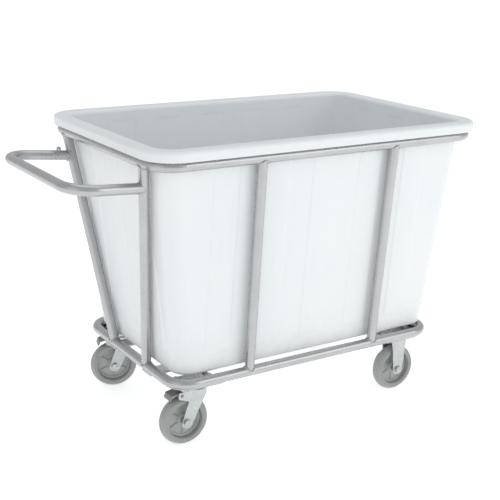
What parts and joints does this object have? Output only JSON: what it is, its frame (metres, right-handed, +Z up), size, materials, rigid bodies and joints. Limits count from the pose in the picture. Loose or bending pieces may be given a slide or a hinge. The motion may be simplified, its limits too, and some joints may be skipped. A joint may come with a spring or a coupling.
{
  "type": "laundry cart",
  "caption": "Tapered plastic tub hung by its rim in a welded tube frame with a push handle, on braked swivel casters and rigid casters.",
  "frame": {"origin": "on the floor, under the middle of the whole cart's box", "axes": "+X away from the push handle, +Y to the pusher's left, +Z up"},
  "size_m": [1.1065, 0.617, 0.746],
  "materials": {
    "tub_plastic": "smooth white polyethylene, slightly cool",
    "frame_paint": "satin silver-grey tube",
    "caster_zinc": "bright zinc plate",
    "bolt_zinc": "zinc plated fasteners",
    "brake_steel": "dark grey pressed steel",
    "hub_plastic": "moulded grey nylon",
    "tyre_grey": "non-marking grey rubber"
  },
  "bodies": {
    "frame": {"axle_bolt_front_left": "bolt_zinc", "axle_bolt_front_right": "bolt_zinc", "axle_bush_front_left": "caster_zinc", "axle_bush_front_right": "caster_zinc", "axle_nut_front_left": "bolt_zinc", "axle_nut_front_right": "bolt_zinc", "base_rail_left": "frame_paint", "base_rail_right": "frame_paint", "base_ring": "frame_paint", "corner_plate_front_left": "frame_paint", "corner_plate_front_right": "frame_paint", "corner_plate_rear_left": "frame_paint", "corner_plate_rear_right": "frame_paint", "end_post_left": "frame_paint", "end_post_right": "frame_paint", "handle_stud": "frame_paint", "kingpin_rear_left": "bolt_zinc", "kingpin_rear_right": "bolt_zinc", "plate_bolts_front_left": "bolt_zinc", "plate_bolts_front_right": "bolt_zinc", "plate_bolts_rear_left": "bolt_zinc", "plate_bolts_rear_right": "bolt_zinc", "plate_nuts_front_left": "bolt_zinc", "plate_nuts_front_right": "bolt_zinc", "plate_nuts_rear_left": "bolt_zinc", "plate_nuts_rear_right": "bolt_zinc", "push_handle": "frame_paint", "rigid_bracket_front_left": "caster_zinc", "rigid_bracket_front_right": "caster_zinc", "side_post_front_left": "frame_paint", "side_post_front_right": "frame_paint", "side_post_rear_left": "frame_paint", "side_post_rear_right": "frame_paint", "swivel_race_rear_left": "caster_zinc", "swivel_race_rear_right": "caster_zinc", "top_plate_rear_left": "caster_zinc", "top_plate_rear_right": "caster_zinc", "upper_ring": "frame_paint"},
    "tub": {"tub": "tub_plastic"},
    "swivel_rear_right": {"fork_rear_right": "caster_zinc", "axle_bolt_rear_right": "bolt_zinc", "axle_nut_rear_right": "bolt_zinc", "axle_bush_rear_right": "caster_zinc"},
    "brake_rear_right": {"brake_pedal_rear_right": "brake_steel"},
    "swivel_rear_left": {"fork_rear_left": "caster_zinc", "axle_bolt_rear_left": "bolt_zinc", "axle_nut_rear_left": "bolt_zinc", "axle_bush_rear_left": "caster_zinc"},
    "brake_rear_left": {"brake_pedal_rear_left": "brake_steel"},
    "wheel_rear_right": {"wheel_hub_rear_right": "hub_plastic", "tyre_rear_right": "tyre_grey"},
    "wheel_rear_left": {"wheel_hub_rear_left": "hub_plastic", "tyre_rear_left": "tyre_grey"},
    "wheel_front_right": {"wheel_hub_front_right": "hub_plastic", "tyre_front_right": "tyre_grey"},
    "wheel_front_left": {"wheel_hub_front_left": "hub_plastic", "tyre_front_left": "tyre_grey"}
  },
  "joints": [
    {"name": "tub_lift", "type": "slide", "parent": "frame", "child": "tub", "axis": [0, 0, 1], "range_m": [0, 0.6]},
    {"name": "rear_right_swivel", "type": "hinge", "parent": "frame", "child": "swivel_rear_right", "pos_m": [-0.23175, -0.193, 0.14], "axis": [0, 0, 1], "continuous": true},
    {"name": "rear_right_brake", "type": "hinge", "parent": "swivel_rear_right", "child": "brake_rear_right", "pos_m": [-0.27569, -0.1907, 0.13465], "axis": [-0.0523, -0.9986, 0], "range_deg": [0, 20]},
    {"name": "rear_right_wheel_spin", "type": "hinge", "parent": "swivel_rear_right", "child": "wheel_rear_right", "pos_m": [-0.26171, -0.19143, 0.0625], "axis": [-0.0523, -0.9986, 0], "continuous": true},
    {"name": "rear_left_swivel", "type": "hinge", "parent": "frame", "child": "swivel_rear_left", "pos_m": [-0.23175, 0.193, 0.14], "axis": [0, 0, 1], "continuous": true},
    {"name": "rear_left_brake", "type": "hinge", "parent": "swivel_rear_left", "child": "brake_rear_left", "pos_m": [-0.27383, 0.20586, 0.13465], "axis": [-0.2924, -0.9563, 0], "range_deg": [0, 20]},
    {"name": "rear_left_wheel_spin", "type": "hinge", "parent": "swivel_rear_left", "child": "wheel_rear_left", "pos_m": [-0.26044, 0.20177, 0.0625], "axis": [-0.2924, -0.9563, 0], "continuous": true},
    {"name": "front_right_wheel_spin", "type": "hinge", "parent": "frame", "child": "wheel_front_right", "pos_m": [0.39225, -0.193, 0.0625], "axis": [0, -1, 0], "continuous": true},
    {"name": "front_left_wheel_spin", "type": "hinge", "parent": "frame", "child": "wheel_front_left", "pos_m": [0.39225, 0.193, 0.0625], "axis": [0, -1, 0], "continuous": true}
  ]
}
